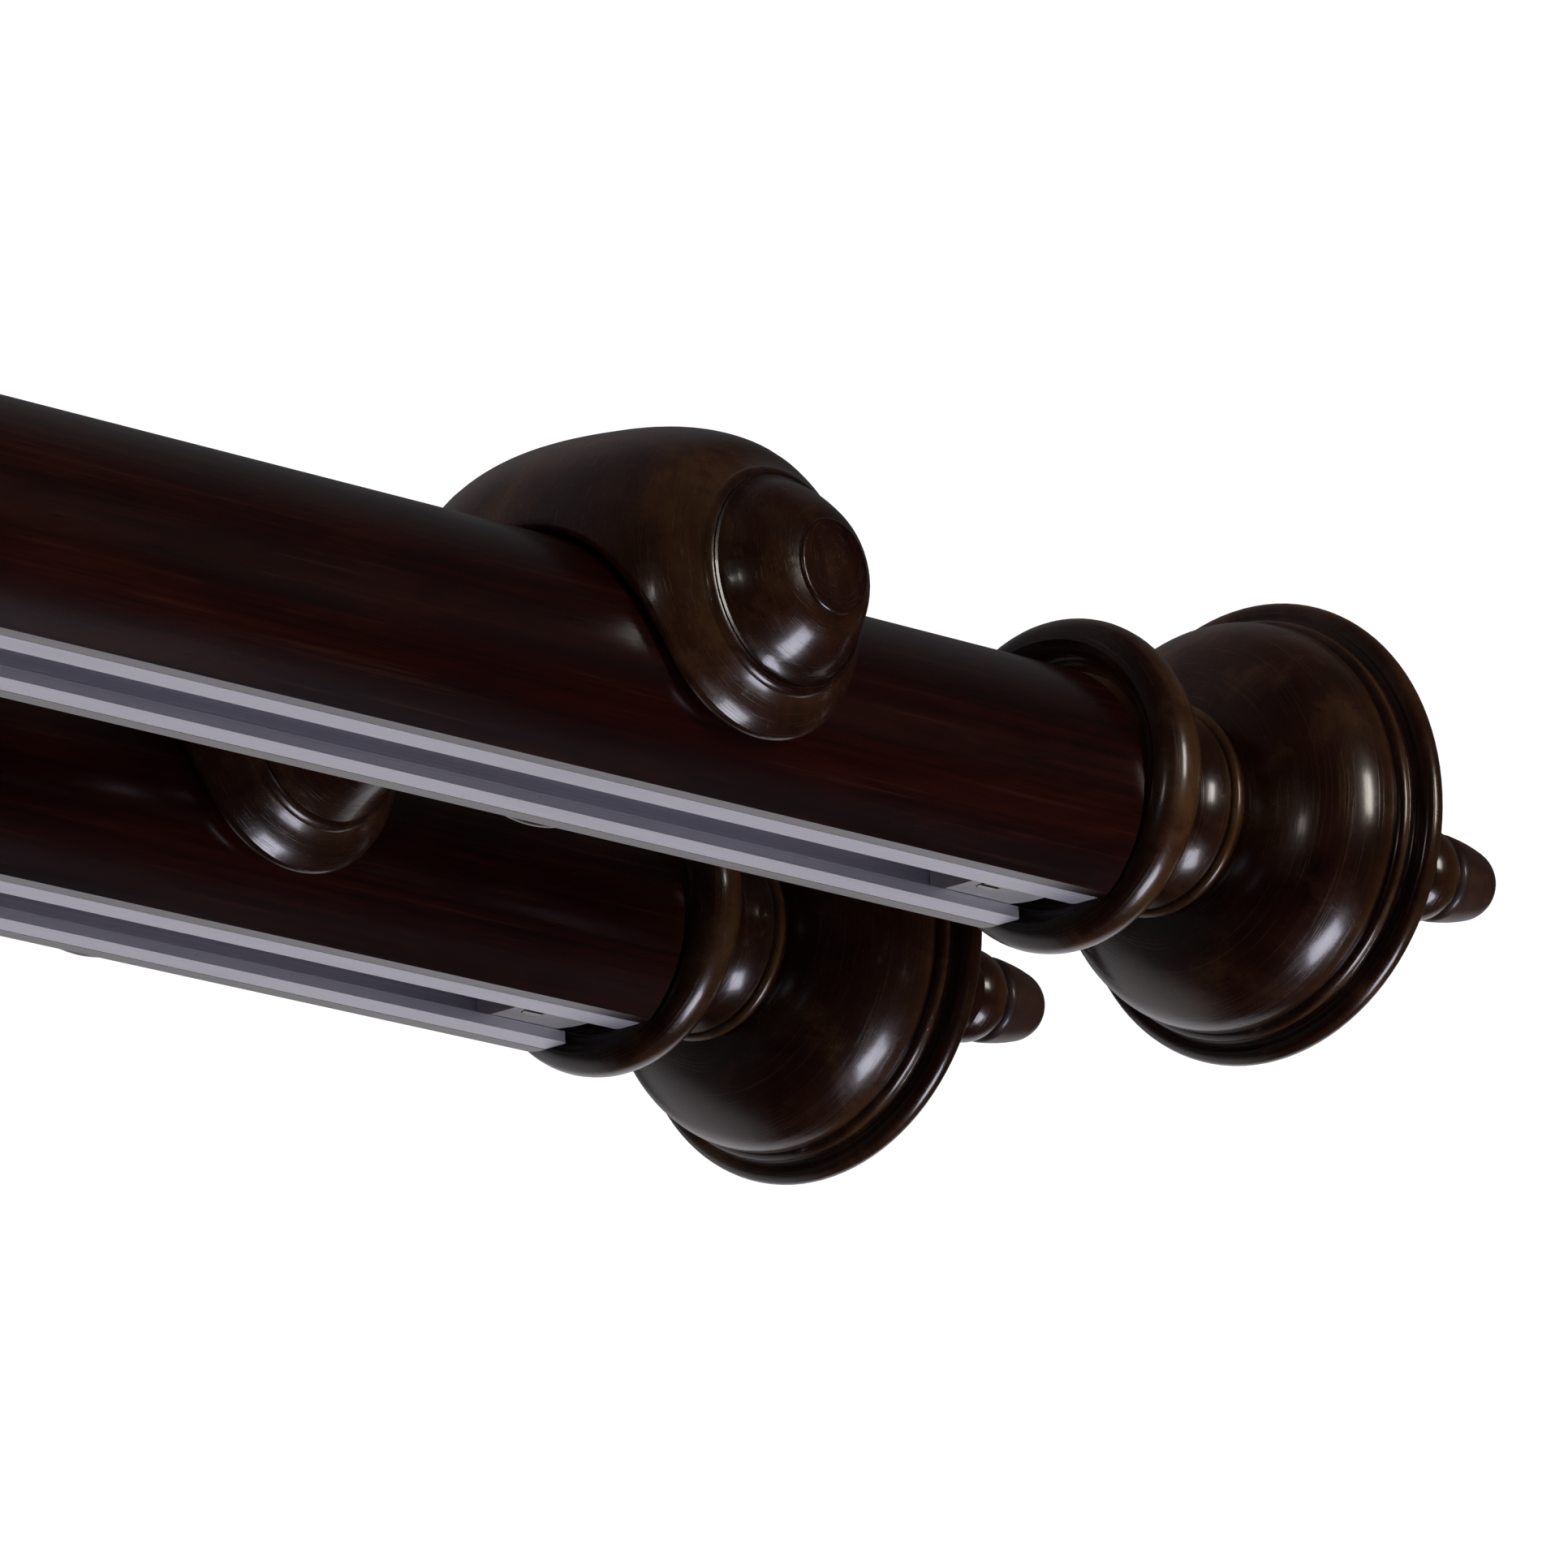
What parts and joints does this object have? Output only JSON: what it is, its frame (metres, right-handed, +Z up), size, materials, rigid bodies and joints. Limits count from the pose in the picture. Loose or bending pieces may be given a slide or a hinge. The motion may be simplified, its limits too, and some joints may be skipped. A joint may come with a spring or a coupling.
{
  "type": "curtain rod with brackets",
  "caption": "Double wooden curtain pole set: dark turned finials, inlaid aluminium tracks with gliders, and turned bracket arms that hold both poles off the wall.",
  "frame": {"origin": "on the wall plane, midway between the brackets, at the height of the arms' axes; the centre of the four wall-screw holes", "axes": "+X along the poles to the right as seen from the room, +Y into the wall, +Z up"},
  "size_m": [1.1416, 0.1679, 0.072],
  "materials": {
    "pole_wood": "dark stained, glossy lacquer",
    "turned_wood": "dark stained, glossy lacquer, thin on the edges",
    "beech": "raw",
    "track_aluminium": "mill finish, drawn",
    "screw_steel": "zinc plated",
    "screw_brass": "bronzed",
    "nylon": "moulded"
  },
  "bodies": {
    "pole_set": {"pole_front": "pole_wood", "track_front": "track_aluminium", "track_screws_front": "screw_steel", "end_stop_front_left": "nylon", "end_stop_front_right": "nylon", "end_stop_screws_front": "screw_steel", "pole_rear": "pole_wood", "track_rear": "track_aluminium", "track_screws_rear": "screw_steel", "end_stop_rear_left": "nylon", "end_stop_rear_right": "nylon", "end_stop_screws_rear": "screw_steel", "bracket_arm_left": "turned_wood", "wall_rosette_left": "turned_wood", "arm_screw_left": "screw_steel", "pole_screws_left": "screw_brass", "bracket_arm_right": "turned_wood", "wall_rosette_right": "turned_wood", "arm_screw_right": "screw_steel", "pole_screws_right": "screw_brass"},
    "finial_front_left": {"finial_front_left": "turned_wood", "finial_peg_front_left": "beech"},
    "finial_front_right": {"finial_front_right": "turned_wood", "finial_peg_front_right": "beech"},
    "glider_front_1": {"glider_front_1": "nylon"},
    "glider_front_2": {"glider_front_2": "nylon"},
    "glider_front_3": {"glider_front_3": "nylon"},
    "glider_front_4": {"glider_front_4": "nylon"},
    "glider_front_5": {"glider_front_5": "nylon"},
    "glider_front_6": {"glider_front_6": "nylon"},
    "finial_rear_left": {"finial_rear_left": "turned_wood", "finial_peg_rear_left": "beech"},
    "finial_rear_right": {"finial_rear_right": "turned_wood", "finial_peg_rear_right": "beech"},
    "glider_rear_1": {"glider_rear_1": "nylon"},
    "glider_rear_2": {"glider_rear_2": "nylon"},
    "glider_rear_3": {"glider_rear_3": "nylon"},
    "glider_rear_4": {"glider_rear_4": "nylon"},
    "glider_rear_5": {"glider_rear_5": "nylon"},
    "glider_rear_6": {"glider_rear_6": "nylon"}
  },
  "joints": [
    {"name": "finial_front_left_pull", "type": "slide", "parent": "pole_set", "child": "finial_front_left", "axis": [-1, 0, 0], "range_m": [0, 0.04]},
    {"name": "finial_front_right_pull", "type": "slide", "parent": "pole_set", "child": "finial_front_right", "axis": [1, 0, 0], "range_m": [0, 0.04]},
    {"name": "glider_front_1_slide", "type": "slide", "parent": "pole_set", "child": "glider_front_1", "axis": [1, 0, 0], "range_m": [-0.052, 0.052]},
    {"name": "glider_front_2_slide", "type": "slide", "parent": "pole_set", "child": "glider_front_2", "axis": [1, 0, 0], "range_m": [-0.052, 0.052]},
    {"name": "glider_front_3_slide", "type": "slide", "parent": "pole_set", "child": "glider_front_3", "axis": [1, 0, 0], "range_m": [-0.052, 0.052]},
    {"name": "glider_front_4_slide", "type": "slide", "parent": "pole_set", "child": "glider_front_4", "axis": [1, 0, 0], "range_m": [-0.052, 0.052]},
    {"name": "glider_front_5_slide", "type": "slide", "parent": "pole_set", "child": "glider_front_5", "axis": [1, 0, 0], "range_m": [-0.052, 0.052]},
    {"name": "glider_front_6_slide", "type": "slide", "parent": "pole_set", "child": "glider_front_6", "axis": [1, 0, 0], "range_m": [-0.052, 0.052]},
    {"name": "finial_rear_left_pull", "type": "slide", "parent": "pole_set", "child": "finial_rear_left", "axis": [-1, 0, 0], "range_m": [0, 0.04]},
    {"name": "finial_rear_right_pull", "type": "slide", "parent": "pole_set", "child": "finial_rear_right", "axis": [1, 0, 0], "range_m": [0, 0.04]},
    {"name": "glider_rear_1_slide", "type": "slide", "parent": "pole_set", "child": "glider_rear_1", "axis": [1, 0, 0], "range_m": [-0.052, 0.052]},
    {"name": "glider_rear_2_slide", "type": "slide", "parent": "pole_set", "child": "glider_rear_2", "axis": [1, 0, 0], "range_m": [-0.052, 0.052]},
    {"name": "glider_rear_3_slide", "type": "slide", "parent": "pole_set", "child": "glider_rear_3", "axis": [1, 0, 0], "range_m": [-0.052, 0.052]},
    {"name": "glider_rear_4_slide", "type": "slide", "parent": "pole_set", "child": "glider_rear_4", "axis": [1, 0, 0], "range_m": [-0.052, 0.052]},
    {"name": "glider_rear_5_slide", "type": "slide", "parent": "pole_set", "child": "glider_rear_5", "axis": [1, 0, 0], "range_m": [-0.052, 0.052]},
    {"name": "glider_rear_6_slide", "type": "slide", "parent": "pole_set", "child": "glider_rear_6", "axis": [1, 0, 0], "range_m": [-0.052, 0.052]}
  ]
}
